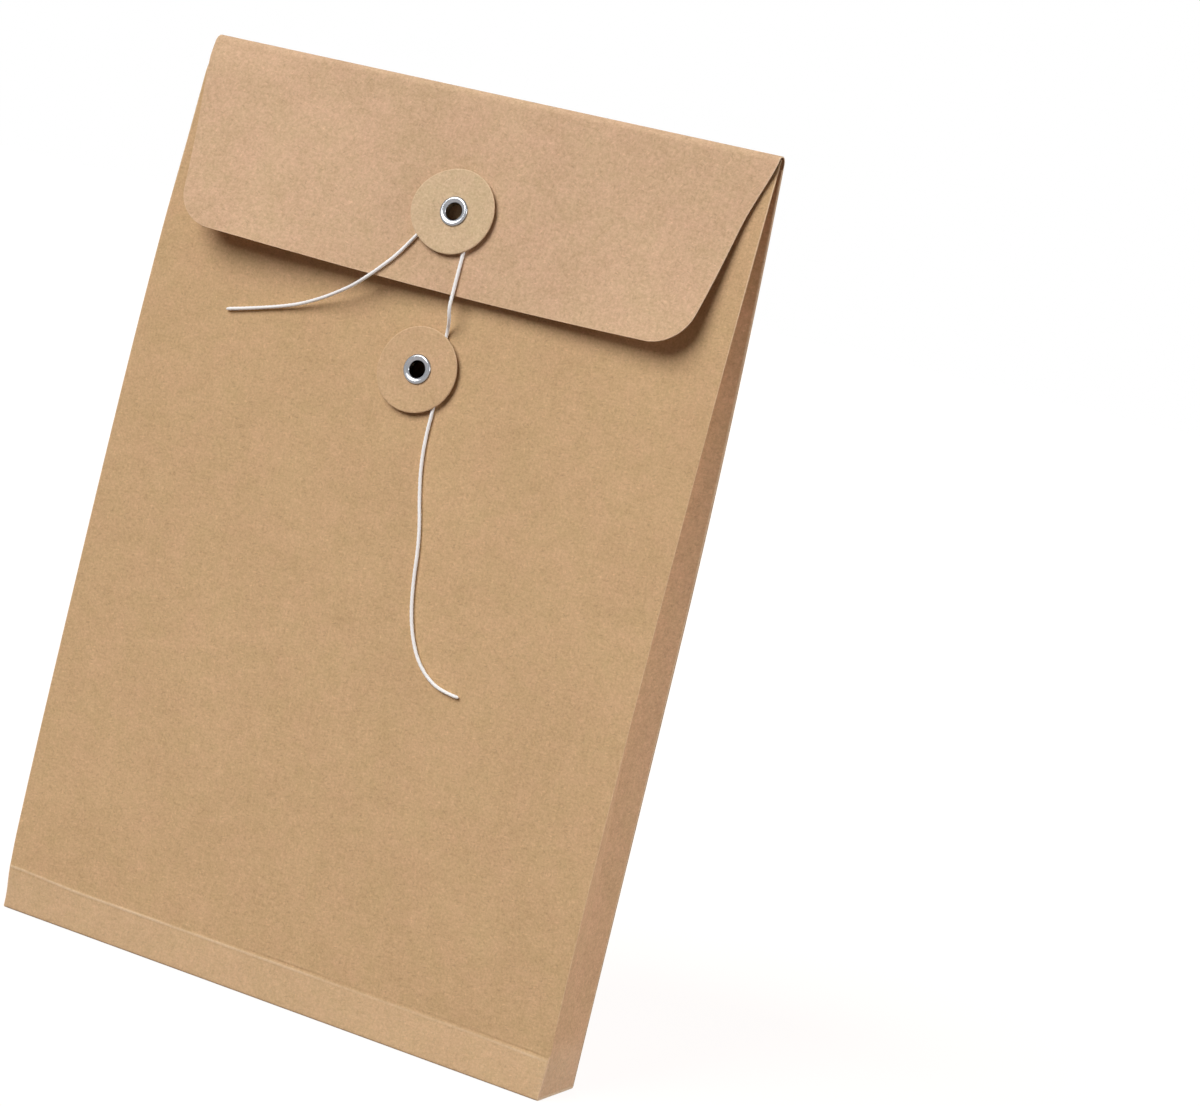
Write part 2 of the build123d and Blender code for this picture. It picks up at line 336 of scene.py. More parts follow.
# Fibres in the card: the way each kind lies in degrees, the share of its places that it takes, how strongly
# it shows, and the shade that it gives
FIBRES = (
    (24, 0.30, 0.55, 0.77),
    (-38, 0.24, 0.5, 0.79),
    (78, 0.22, 0.5, 0.78),
    (8, 0.26, 0.5, 1.22),
    (-62, 0.24, 0.5, 1.2),
)
OLIVE_TINT = (0.982, 1.007, 0.974, 1)
PINK_TINT = (1.018, 0.993, 1.014, 1)
# Pale colour of worn edges and folds, partly a painted highlight
WORN_AND_HIGHLIGHT_COLOUR = (0.87, 0.69, 0.48, 1)
# Colour of painted light that lightens the band under the crease and the gussets' feet
PAINTED_LIGHT_COLOUR = (0.82, 0.69, 0.55, 1)
WHITE = (1, 1, 1, 1)


def kraft(name, light, dark, shift, wear_and_highlight=0.75):
    """Kraft card: tan pulp mottled at every scale, with pink and olive blotches, short dark and pale fibres,
    edges and folds worn pale and partly painted with a highlight where they catch the light, and painted
    light that lightens the band under the crease and the gussets' feet."""
    material, tree, surface = new_material(name)
    flat = add(tree, "ShaderNodeUVMap", uv_map="card").outputs["UV"]
    scaled = {0: flat, 1: (1000, 1000, 1000), 2: shift}
    place = add(tree, "ShaderNodeVectorMath", scaled, operation="MULTIPLY_ADD").outputs[0]

    slow = noise(tree, place, 0.03, 3, 0.6)
    cloud = noise(tree, place, 0.14, 3, 0.6)
    pulp = noise(tree, place, 0.55, 2, 0.6)
    grain = noise(tree, place, 1.2, 2, 0.7)
    long_fibre = noise(tree, stretched(tree, place, (0.32, 1.6, 1)), 1.0, 3, 0.65, 0.7)
    cross_fibre = noise(tree, stretched(tree, place, (1.4, 0.3, 1)), 1.0, 3, 0.65, 0.7)
    terms = [(slow, 0.5), (cloud, 0.55), (pulp, 0.7), (grain, 1.5), (long_fibre, 0.6), (cross_fibre, 0.5)]
    tone = maths(tree, "ADD", weighted(tree, 0.5, terms), 0.0, clamp=True)
    colour = mixed(tree, tone, dark, light)

    blotch_terms = [(noise(tree, place, 0.07, 3, 0.6), 2.2), (noise(tree, place, 0.35, 2, 0.5), 0.9)]
    blotch = spread(tree, weighted(tree, 0.5, blotch_terms), 0.0, 1.0, 0.0, 1.0)
    colour = multiplied(tree, colour, mixed(tree, blotch, OLIVE_TINT, PINK_TINT))

    bent = add(tree, "ShaderNodeTexNoise", {"Vector": place, "Scale": 0.5}).outputs["Color"]
    wavy = {0: bent, 1: (0.8, 0.8, 0.8), 2: place}
    bent = add(tree, "ShaderNodeVectorMath", wavy, operation="MULTIPLY_ADD").outputs[0]
    for angle, taken, strength, shade in FIBRES:
        turned = {"Vector": bent, "Rotation": (0, 0, math.radians(angle)), "Scale": (1.5, 0.34, 1)}
        along = add(tree, "ShaderNodeMapping", turned, vector_type="TEXTURE").outputs[0]
        cells = add(tree, "ShaderNodeTexVoronoi", {"Vector": along, "Scale": 0.27}, voronoi_dimensions="2D")
        cell_tone = add(tree, "ShaderNodeSeparateColor", {"Color": cells.outputs["Color"]}).outputs[0]
        streak = spread(tree, cells.outputs["Distance"], 0.05, 0.2, strength, 0.0)
        chosen = maths(tree, "LESS_THAN", cell_tone, taken)
        shaded = multiplied(tree, colour, (shade, shade, shade, 1))
        colour = mixed(tree, maths(tree, "MULTIPLY", streak, chosen), colour, shaded)

    # Pale edges and folds: worn card, and partly a painted highlight where edges and the fold's crown catch
    # the light
    rim = add(tree, "ShaderNodeAttribute", attribute_name="rim").outputs["Fac"]
    ragged = spread(tree, noise(tree, place, 0.9, 4, 0.7), 0.3, 0.7, 0.35, 1.0)
    worn_and_highlight = maths(tree, "MULTIPLY", spread(tree, rim, 0.0001, 0.0006, wear_and_highlight, 0.0), ragged)
    colour = mixed(tree, worn_and_highlight, colour, WORN_AND_HIGHLIGHT_COLOUR)
    # Painted light: lighter tone on the band under the crease and on the gussets' feet
    scuff = add(tree, "ShaderNodeAttribute", attribute_name="scuff").outputs["Fac"]
    colour = mixed(tree, maths(tree, "MULTIPLY", scuff, ragged), colour, PAINTED_LIGHT_COLOUR)

    put(tree, surface.inputs["Base Color"], colour)
    put(tree, surface.inputs["Roughness"], weighted(tree, 0.78, [(cloud, 0.2), (grain, 0.15)]))
    surface.inputs["Specular IOR Level"].default_value = 0.1
    height = weighted(tree, 0.5, [(grain, 0.6), (long_fibre, 0.4), (cross_fibre, 0.3), (pulp, 0.4)])
    bump = add(tree, "ShaderNodeBump", {"Height": height, "Strength": 0.35, "Distance": 0.00012})
    put(tree, surface.inputs["Normal"], bump.outputs["Normal"])
    return material


def cut_card(name):
    """The cut edge of the card: pale pulp with a fine ragged grain."""
    material, tree, surface = new_material(name)
    flat = add(tree, "ShaderNodeUVMap", uv_map="card").outputs["UV"]
    place = add(tree, "ShaderNodeVectorMath", {0: flat, "Scale": 1000.0}, operation="SCALE").outputs[0]
    grain = noise(tree, place, 1.3, 4, 0.7)
    cloud = noise(tree, place, 0.12, 3, 0.6)
    tone = weighted(tree, 0.5, [(grain, 0.9), (cloud, 0.8)])
    put(tree, surface.inputs["Base Color"], mixed(tree, tone, (0.62, 0.44, 0.28, 1), (0.88, 0.72, 0.54, 1)))
    put(tree, surface.inputs["Roughness"], weighted(tree, 0.85, [(grain, 0.2)]))
    bump = add(tree, "ShaderNodeBump", {"Height": grain, "Strength": 0.4, "Distance": 0.0001})
    put(tree, surface.inputs["Normal"], bump.outputs["Normal"])
    return material


def nickel(name):
    """Rolled nickel-plated eyelet: bright, with fine turning marks and a little dulling."""
    material, tree, surface = new_material(name)
    flat = add(tree, "ShaderNodeUVMap", uv_map="card").outputs["UV"]
    place = add(tree, "ShaderNodeVectorMath", {0: flat, "Scale": 1000.0}, operation="SCALE").outputs[0]
    smear = noise(tree, place, 0.8, 4, 0.6)
    marks = noise(tree, stretched(tree, place, (6, 0.8, 1)), 1.0, 3, 0.6)
    tone = weighted(tree, 0.5, [(smear, 0.7), (marks, 0.4)])
    put(tree, surface.inputs["Base Color"], mixed(tree, tone, (0.23, 0.235, 0.25, 1), (0.4, 0.41, 0.43, 1)))
    surface.inputs["Metallic"].default_value = 1.0
    put(tree, surface.inputs["Roughness"], weighted(tree, 0.16, [(smear, 0.12), (marks, 0.08)]))
    bump = add(tree, "ShaderNodeBump", {"Height": marks, "Strength": 0.12, "Distance": 0.00005})
    put(tree, surface.inputs["Normal"], bump.outputs["Normal"])
    return material


def white_string(name):
    """Twisted white string: off-white fibres, a little grey between the plies."""
    material, tree, surface = new_material(name)
    flat = add(tree, "ShaderNodeUVMap", uv_map="card").outputs["UV"]
    place = add(tree, "ShaderNodeVectorMath", {0: flat, "Scale": 1000.0}, operation="SCALE").outputs[0]
    fibre = noise(tree, stretched(tree, place, (5, 1.2, 1)), 1.0, 4, 0.7, 0.8)
    soil = noise(tree, place, 0.06, 3, 0.6)
    tone = weighted(tree, 0.6, [(fibre, 0.9), (soil, 0.5)])
    put(tree, surface.inputs["Base Color"], mixed(tree, tone, (0.9, 0.895, 0.88, 1), (0.99, 0.99, 0.985, 1)))
    put(tree, surface.inputs["Roughness"], weighted(tree, 0.75, [(fibre, 0.2)]))
    bump = add(tree, "ShaderNodeBump", {"Height": fibre, "Strength": 0.5, "Distance": 0.0001})
    put(tree, surface.inputs["Normal"], bump.outputs["Normal"])
    return material


# Each card's light and dark pulp, where its pattern starts, and how pale its edges wear, partly a painted
# highlight. The left gusset and the base tabs start at their own places in the gussets' pattern.
LEFT_PATTERN = (97, 0)
TAB_PATTERN = (300, 0)
KRAFT = kraft("kraft_card", (0.72, 0.489, 0.276, 1), (0.517, 0.333, 0.177, 1), (0, 0, 0))
# The back and flap's kraft is lighter and pinker than the front's: painted light for the upward-tilted flap,
# which takes more of the light
BACK_AND_FLAP_KRAFT_PAINTED_LIGHTER = kraft("kraft_back_and_flap_painted_lighter", (0.748, 0.513, 0.332, 1), (0.535, 0.349, 0.211, 1), (431, 187, 53), 0.5)
GUSSET_KRAFT = kraft("kraft_gusset", (0.762, 0.486, 0.289, 1), (0.536, 0.328, 0.19, 1), (911, 277, 17), 1.0)
# The upper button's kraft, on the flap, is lighter and paler than the lower one's: painted light in the same
# way
UPPER_BUTTON_KRAFT_PAINTED_LIGHTER = kraft(
    "kraft_upper_button_painted_lighter", (0.768, 0.578, 0.375, 1), (0.567, 0.4, 0.241, 1), (57, 613, 29), 0.5
)
LOWER_KRAFT = kraft(
    "kraft_lower_button", (0.728, 0.497, 0.295, 1), (0.536, 0.345, 0.19, 1), (211, 733, 29), 0.5
)
CUT = cut_card("cut_edge")
NICKEL = nickel("nickel")
STRING = white_string("white_string")


# Mesh helpers

# Where a sheet's grid is finer: these distances in from an edge, and about an eyelet
EDGE_STEPS = (0.1, 0.25, 0.45, 0.8, 1.5)
SPOT_HALF = 6.0
SPOT_STEP = 0.5
LEAST_STEP = 0.06  # places nearer than this to the one before are left out
NO_RIM = 9.0  # so far from every edge that nothing wears pale
INNER_RIM = 0.3  # added on a sheet's inner face, which wears less


def ticks(low, high, step, edges=(), spot=None):
    """Places from low to high: even steps, with finer ones in from both ends and about one spot."""
    places = [np.linspace(low, high, max(2, round((high - low) / step) + 1))]
    places += [np.array(edges) + low, high - np.array(edges)] if edges else []
    if spot is not None:
        places.append(np.arange(spot - SPOT_HALF, spot + SPOT_HALF + 0.01, SPOT_STEP))
    ordered = np.unique(np.round(np.concatenate(places), 4))
    wanted = np.concatenate([[True], np.diff(ordered) > LEAST_STEP])
    wanted[-1] = True
    return ordered[wanted]


def build_mesh(name, points, faces, materials, slots, card, rim, scuff=None):
    """Object from arrays: points, faces and their materials, and for each point its place on the flat card,
    its distance from the nearest edge or fold that wears pale, partly as a painted highlight, and how
    strongly painted light lightens it."""
    mesh = bpy.data.meshes.new(name)
    mesh.from_pydata((points * MM).tolist(), [], faces.tolist())
    for material in materials:
        mesh.materials.append(material)
    mesh.polygons.foreach_set("material_index", slots.astype(np.int32))
    corners = np.empty(len(mesh.loops), np.int32)
    mesh.loops.foreach_get("vertex_index", corners)
    layer = mesh.uv_layers.new(name="card")
    layer.data.foreach_set("uv", (card[corners] * MM).astype(np.float32).ravel())
    attribute = mesh.attributes.new("rim", "FLOAT", "POINT")
    attribute.data.foreach_set("value", (rim * MM).astype(np.float32))
    if scuff is not None:
        attribute = mesh.attributes.new("scuff", "FLOAT", "POINT")
        attribute.data.foreach_set("value", scuff.astype(np.float32))
    mesh.polygons.foreach_set("use_smooth", np.ones(len(mesh.polygons), bool))
    mesh.set_sharp_from_angle(angle=math.radians(40))
    mesh.update()
    thing = bpy.data.objects.new(name, mesh)
    bpy.context.scene.collection.objects.link(thing)
    return thing


def grid_faces(rows, columns, wrap_rows=False, wrap_columns=False):
    """Four-sided faces of a grid of points, counted row by row, closed up where a wrap is asked for."""
    index = np.arange(rows * columns).reshape(rows, columns)
    index = np.concatenate([index, index[:1]]) if wrap_rows else index
    index = np.concatenate([index, index[:, :1]], axis=1) if wrap_columns else index
    return np.stack([index[:-1, :-1], index[:-1, 1:], index[1:, 1:], index[1:, :-1]], axis=-1).reshape(-1, 4)


def sheet(name, outer, card, rim, materials, hole=None, folded=None, scuff=None):
    """Sheet of card: a grid of points on its outer face, an inner face one card thickness behind it along
    the grid's normal, and sides round the outline and round a hole, where faces are left out and the points
    about them are drawn on to a circle. Sides are cut card, apart from those that start at a folded
    point."""
    rows, columns = outer.shape[:2]
    count = rows * columns
    normal = np.cross(np.gradient(outer, axis=1), np.gradient(outer, axis=0))
    normal /= np.linalg.norm(normal, axis=-1, keepdims=True)
    normal = normal.reshape(-1, 3)
    outer = outer.reshape(-1, 3)
    top = grid_faces(rows, columns)
    if hole is not None:
        middles = outer[top].mean(axis=1)
        top = top[np.linalg.norm(middles - hole, axis=1) > EYELET_CUT]
    starts = top.ravel()
    ends = np.roll(top, -1, axis=1).ravel()
    lone = ~np.isin(starts * count + ends, ends * count + starts)
    starts, ends = starts[lone], ends[lone]
    if hole is not None:
        away = outer[starts] - hole
        reach = np.linalg.norm(away, axis=1, keepdims=True)
        outer[starts] = np.where(reach < 2 * EYELET_CUT, hole + away * EYELET_CUT / reach, outer[starts])
    points = np.concatenate([outer, outer - CARD * normal])
    sides = np.stack([ends, starts, starts + count, ends + count], axis=-1)
    faces = np.concatenate([top, top[:, ::-1] + count, sides])
    cut = np.ones(len(sides)) if folded is None else ~folded.ravel()[starts]
    slots = np.concatenate([np.zeros(2 * len(top)), cut])
    flat = np.concatenate([card.reshape(-1, 2)] * 2)
    edge = np.concatenate([rim.ravel(), rim.ravel() + INNER_RIM])
    scuff = None if scuff is None else np.concatenate([scuff.ravel(), 0 * scuff.ravel()])
    return build_mesh(name, points, faces, materials, slots, flat, edge, scuff)


def lathe(name, profile, seat, material, rim_of, turns=96, lie=ROUND):
    """Solid of a closed outline, as distances from the seat's axis and heights along it, turned right round.
    The card's place is the point's place across the seat. A lie widens it one way and curls it off there,
    each as the square of the way out."""
    origin, axis = seat
    across = np.array([1.0, 0, 0])
    up = np.cross(axis, across)
    angle = np.linspace(0, 2 * math.pi, turns, endpoint=False)
    reach, height = np.array(profile).T
    x = np.outer(reach, np.cos(angle))
    y = np.outer(reach, np.sin(angle))
    way, wide, curl = lie
    share = np.clip((x * way[0] + y * way[1]) / reach.max(), 0, 1) ** 2
    lift = height[:, None] + curl * share
    flat = (x + wide * way[0] * share, y + wide * way[1] * share)
    points = origin + flat[0][..., None] * across + flat[1][..., None] * up + lift[..., None] * axis
    faces = grid_faces(len(profile), turns, wrap_rows=True, wrap_columns=True)
    card = np.stack([x, y], axis=-1).reshape(-1, 2)
    rim = np.repeat(rim_of, turns)
    return build_mesh(name, points.reshape(-1, 3), faces, [material], np.zeros(len(faces)), card, rim)


def bow(centre, radii, start, end, steps):
    """Points of an ellipse's arc between two angles in degrees."""
    angle = np.radians(np.linspace(start, end, steps + 1))
    return np.stack([centre[0] + radii[0] * np.cos(angle), centre[1] + radii[1] * np.sin(angle)], axis=-1)


# The string, along splines through the route's points


def spline(points):
    """Points PATH_STEP apart along a NURBS spline that has these control points, and its length."""
    data = bpy.data.curves.new("route", "CURVE")
    data.dimensions = "3D"
    data.resolution_u = 24
    line = data.splines.new("NURBS")
    line.points.add(len(points) - 1)
    line.points.foreach_set("co", np.column_stack([points, np.ones(len(points))]).ravel())
    line.order_u = 3
    line.use_endpoint_u = True
    thing = bpy.data.objects.new("route", data)
    bpy.context.scene.collection.objects.link(thing)
    bpy.context.view_layer.update()
    mesh = bpy.data.meshes.new_from_object(thing)
    path = np.empty(3 * len(mesh.vertices))
    mesh.vertices.foreach_get("co", path)
    path = path.reshape(-1, 3)
    bpy.data.meshes.remove(mesh)
    bpy.data.objects.remove(thing)
    bpy.data.curves.remove(data)
    travel = np.concatenate([[0], np.cumsum(np.linalg.norm(np.diff(path, axis=0), axis=1))])
    even = np.linspace(0, travel[-1], round(travel[-1] / PATH_STEP) + 1)
    return np.stack([np.interp(even, travel, path[:, i]) for i in range(3)], axis=-1), travel[-1]


def string_end(name, points):
    """One end of the string: a round tube along its spline, with two twisted plies that show as a shallow
    groove winding round it, and a rounded tip."""
    path, length = spline(points)
    turns = 14
    tangent = np.gradient(path, axis=0)
    tangent /= np.linalg.norm(tangent, axis=1, keepdims=True)
    side = np.cross(tangent, (0.0, -1.0, 0.0))
    side /= np.linalg.norm(side, axis=1, keepdims=True)
    other = np.cross(side, tangent)
    travel = np.linspace(0, length, len(path))
    angle = np.linspace(0, 2 * math.pi, turns, endpoint=False)
    twist = 2 * math.pi * travel / PLY_PITCH
    ply = 1 - PLY_GROOVE + PLY_GROOVE * np.cos(2 * (angle[None, :] - twist[:, None]))
    tip = np.sqrt(np.clip((length - travel) / STRING_RADIUS, 0.02, 1))
    reach = STRING_RADIUS * ply * tip[:, None]
    around = np.cos(angle)[None, :, None] * side[:, None, :]
    around = around + np.sin(angle)[None, :, None] * other[:, None, :]
    points = path[:, None, :] + reach[..., None] * around
    rows = len(path)
    faces = grid_faces(rows, turns, wrap_columns=True)
    ends = np.stack([path[0], path[-1]])
    first, last = np.arange(turns), np.arange(turns) + (rows - 1) * turns
    caps = [np.stack([np.roll(first, -1), first, np.full(turns, rows * turns)], axis=-1)]
    caps.append(np.stack([last, np.roll(last, -1), np.full(turns, rows * turns + 1)], axis=-1))
    all_points = np.concatenate([points.reshape(-1, 3), ends])
    all_faces = [list(f) for f in faces] + [list(f) for f in np.concatenate(caps)]
    spin = (angle[None, :] - twist[:, None]) * STRING_RADIUS
    card = np.stack([spin, np.broadcast_to(travel[:, None], spin.shape)], axis=-1).reshape(-1, 2)
    card = np.concatenate([card, [[0, 0], [0, length]]])
    thing = build_mesh(
        name,
        all_points,
        np.array(all_faces, dtype=object),
        [STRING],
        np.zeros(len(all_faces)),
        card,
        np.full(len(all_points), NO_RIM),
    )
    return thing, path, length


def flap_points(places):
    """The string's centre line on the bowed flap, from places across it and drops below the fold. Past the
    flap's edge the bow dies away, as the string falls in towards the front."""
    x, drop = np.array(places).T
    past = np.clip(drop - FLAP_LENGTH, 0, STRING_FALL)
    out = flap_bow(x, np.minimum(drop, FLAP_LENGTH)) * (1 - past / STRING_FALL)
    return on_flap(x, drop, STRING_LIFT + out)


# The string's middle, and the routes of its two ends from there: places across the flap and drops below
# its fold, then places across the front, heights, and lifts off it
MIDDLE = (1.8, 36.9)
SHORT_ROUTE = np.concatenate(
    [
        flap_points(
            [
                MIDDLE,
                (-1.3, 37.3),
                (-4.0, 42.8),
                (-9.45, 51.1),
                (-14.95, 60.5),
                (-19.4, 66.3),
                (-22.9, 70.2),
            ]
        ),
        off_front(
            [
                (-28.0, 253.9, 7.2),
                (-33.6, 250.5, 5.6),
                (-40.8, 246.6, 3.4),
                (-49.7, 242.5, 1.8),
                (-56.6, 240.2, 1.1),
                (-63.8, 238.1, 0.8),
                (-72.4, 235.8, STRING_LIFT),
                (-78.9, 234.2, STRING_LIFT),
            ]
        ),
    ]
)
LONG_ROUTE = np.concatenate(
    [
        flap_points(
            [
                MIDDLE,
                (4.9, 36.5),
                (7.7, 41.9),
                (9.3, 50.6),
                (9.6, 60.7),
                (9.9, BEND_DROP),
                (10.2, 74.3),
            ]
        ),
        off_front(
            [
                (10.5, 250.1, 4.9),
                (9.0, 246.3, 0.8),
                (9.1, 238.6, STRING_LIFT),
                (10.4, 228.5, STRING_LIFT),
                (11.3, 218.5, STRING_LIFT),
                (11.2, 208.5, STRING_LIFT),
                (12.3, 197.8, STRING_LIFT),
                (14.8, 187.3, STRING_LIFT),
                (17.6, 178.0, STRING_LIFT),
                (19.3, 169.6, STRING_LIFT),
                (20.4, 160.3, STRING_LIFT),
                (22.3, 149.8, STRING_LIFT),
                (25.2, 140.9, STRING_LIFT),
                (29.3, 133.4, STRING_LIFT),
                (34.6, 128.2, STRING_LIFT),
                (41.2, 124.9, STRING_LIFT),
                (48.4, 124.5, STRING_LIFT),
            ]
        ),
    ]
)


def tie_string(name, route, nodes):
    """One end of the string, in place: its route runs down the flap and bends just past the flap's edge."""
    thing, path, length = string_end(name, route)
    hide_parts(*nodes)
    start = on_flap(0.0, FLAP_LENGTH) * MM
    end = on_flap(0.0, 2 * BEND_DROP - FLAP_LENGTH) * MM
    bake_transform(thing)
    return thing


set_camera()
tie_string("string_long", LONG_ROUTE, ["string_run", "string_turn"])
tie_string("string_short", SHORT_ROUTE, ["string_tail"])


# The front, from under the base up to the mouth


def uneven(x, along, size):
    """Slight hollows that card has, in millimetres, always inwards: two crossed waves, none at the sides."""
    wave = np.sin(x / 31 + 0.7) * np.sin(along / 43 + 0.4) + 0.6 * np.sin(x / 17 + along / 27 + 2.1)
    calm = np.clip((HALF_WIDTH - np.abs(x)) / 25, 0, 1)
    return size * (0.5 + 0.3 * wave) * calm


def front_sheet():
    """The front: a bend up from the base, up to the crease, then the front's arc. A worn ridge runs just
    under the crease, and on the right half a groove and a second ridge above it. At the foot the sides roll
    in and wrinkle."""
    turn = np.radians(np.linspace(270, 180, 7))
    bend_y = -BASE_HALF + BASE_BEND * (1 + np.cos(turn))
    bend_z = BASE_BEND * (1 + np.sin(turn))
    straight = np.arange(1.8, 11.5, 1.0)
    embossed = np.arange(12.0, 17.9, 0.13)
    above = ticks(18.5, FRONT_EDGE, 3.0, spot=BUTTON_HEIGHT)
    top = FRONT_EDGE - np.array([1.5, 0.8, 0.45, 0.25, 0.1])
    heights = np.unique(np.concatenate([straight, embossed, above, top]))
    y = np.concatenate([bend_y, front_face(heights)])
    z = np.concatenate([bend_z, heights])
    x = ticks(-HALF_WIDTH, HALF_WIDTH, 3.0, EDGE_STEPS, BUTTON_X)
    run = np.concatenate([[0], np.cumsum(np.hypot(np.diff(y), np.diff(z)))])
    place = np.stack(np.broadcast_arrays(x[None, :], y[:, None], z[:, None]), axis=-1)
    outer = place.copy()
    ridge_height = CREASE - RIDGE_DROP + 1.1 * smooth(-x, 78, 110) - 0.5 * smooth(x, 80, HALF_WIDTH)
    from_ridge = place[..., 2] - ridge_height[None, :]
    side = HALF_WIDTH - np.abs(x)[None, :]
    parted = smooth(x, -35, 15)[None, :]
    pressed = (0.8 + 0.3 * np.sin(x / 19 + 1.1) * np.sin(x / 7.3))[None, :]
    stronger = 0.4 * smooth(x, 80, 108) + 0.7 * smooth(-x, 90, HALF_WIDTH)
    pressed = pressed * (1 - 0.75 * smooth(x, -20, 40) + stronger)[None, :]
    pressed = pressed * np.where(x[None, :] < 0, 1, smooth(side, 1.0, 6.0))
    ridge = np.exp(-((from_ridge / RIDGE_SPREAD) ** 2)) * pressed
    groove = np.exp(-(((from_ridge - GROOVE_RISE) / GROOVE_SPREAD) ** 2)) * pressed * parted
    second = np.exp(-(((from_ridge - SECOND_RISE) / SECOND_SPREAD) ** 2)) * pressed * parted
    foot = 1 - smooth(place[..., 2], *FOOT)
    rolled = 0.22 * np.exp(-side / 0.35) + 0.5 * foot * np.exp(-side / 0.6)
    wrinkled = np.exp(-((place[..., 2] - 7) / 2.5) ** 2) * np.exp(-side / 5)
    wrinkles = 0.1 * wrinkled * np.sin(2 * math.pi * (place[..., 2] / 2.3 + side / 14))
    hollow = uneven(place[..., 0], place[..., 2], 0.35) * np.clip((place[..., 2] - 20) / 40, 0, 1)
    shift = front_shift(place[..., 0], place[..., 2])
    embossing = GROOVE_IN * groove - RIDGE_OUT * ridge - SECOND_OUT * second
    outer[..., 1] += shift + hollow + rolled + wrinkles + embossing
    outer[..., 0] += edge_reach(place[..., 0], place[..., 2])
    card = np.stack(np.broadcast_arrays(x[None, :], run[:, None]), axis=-1)
    below_top = np.where(place[..., 2] > CREASE, FRONT_EDGE - place[..., 2], 99)
    ridge_wear = 0.5 - 0.3 * pressed + np.maximum(np.abs(from_ridge) - 0.3, 0)
    second_wear = 0.65 - 0.3 * pressed * parted + np.abs(from_ridge - SECOND_RISE)
    # The pale lines along the front's sides are worn card, partly a painted highlight on the edges
    side_wear = side + 2 * foot + 0.3 * (1 - smooth(place[..., 2], 230, 300))
    rim = np.minimum(np.minimum(side_wear, below_top), np.minimum(ridge_wear, second_wear))
    folded = place[..., 2] < FOOT[1]
    # Painted light: the band under the crease, more so at its sides, is lightened for the light that falls
    # there
    band = 1 - smooth(place[..., 2], CREASE - 1.5, CREASE + 0.5)
    scuff = 0.1 * band + 0.1 * np.exp(-side / 1.5) * band
    thing = sheet("front_sheet", outer, card, rim, [KRAFT, CUT], LOWER_SEAT[0], folded, scuff)
    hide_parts("front_base_band", "front_panel")
    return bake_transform(thing)


# The base, the back, the fold and the flap


def flap_lie(x, drop):
    """How the flap hangs off true, as shifts across it, out of it and down it: a skew to the left that grows
    down it and a right edge pinched in, its bow, and an edge that droops as a parabola right of the
    middle."""
    down = drop / FLAP_LENGTH
    pinch = FLAP_PINCH * smooth(drop, *PINCH_RISE) * (1 - 0.5 * smooth(drop, *PINCH_EASE))
    across = -FLAP_SKEW * down - pinch * np.clip(x / HALF_WIDTH, 0, 1)
    droop = FLAP_DROOP * (1 - ((x - BOW_MIDDLE) / DROOP_HALF) ** 2) * down
    return across, flap_bow(x, drop), droop


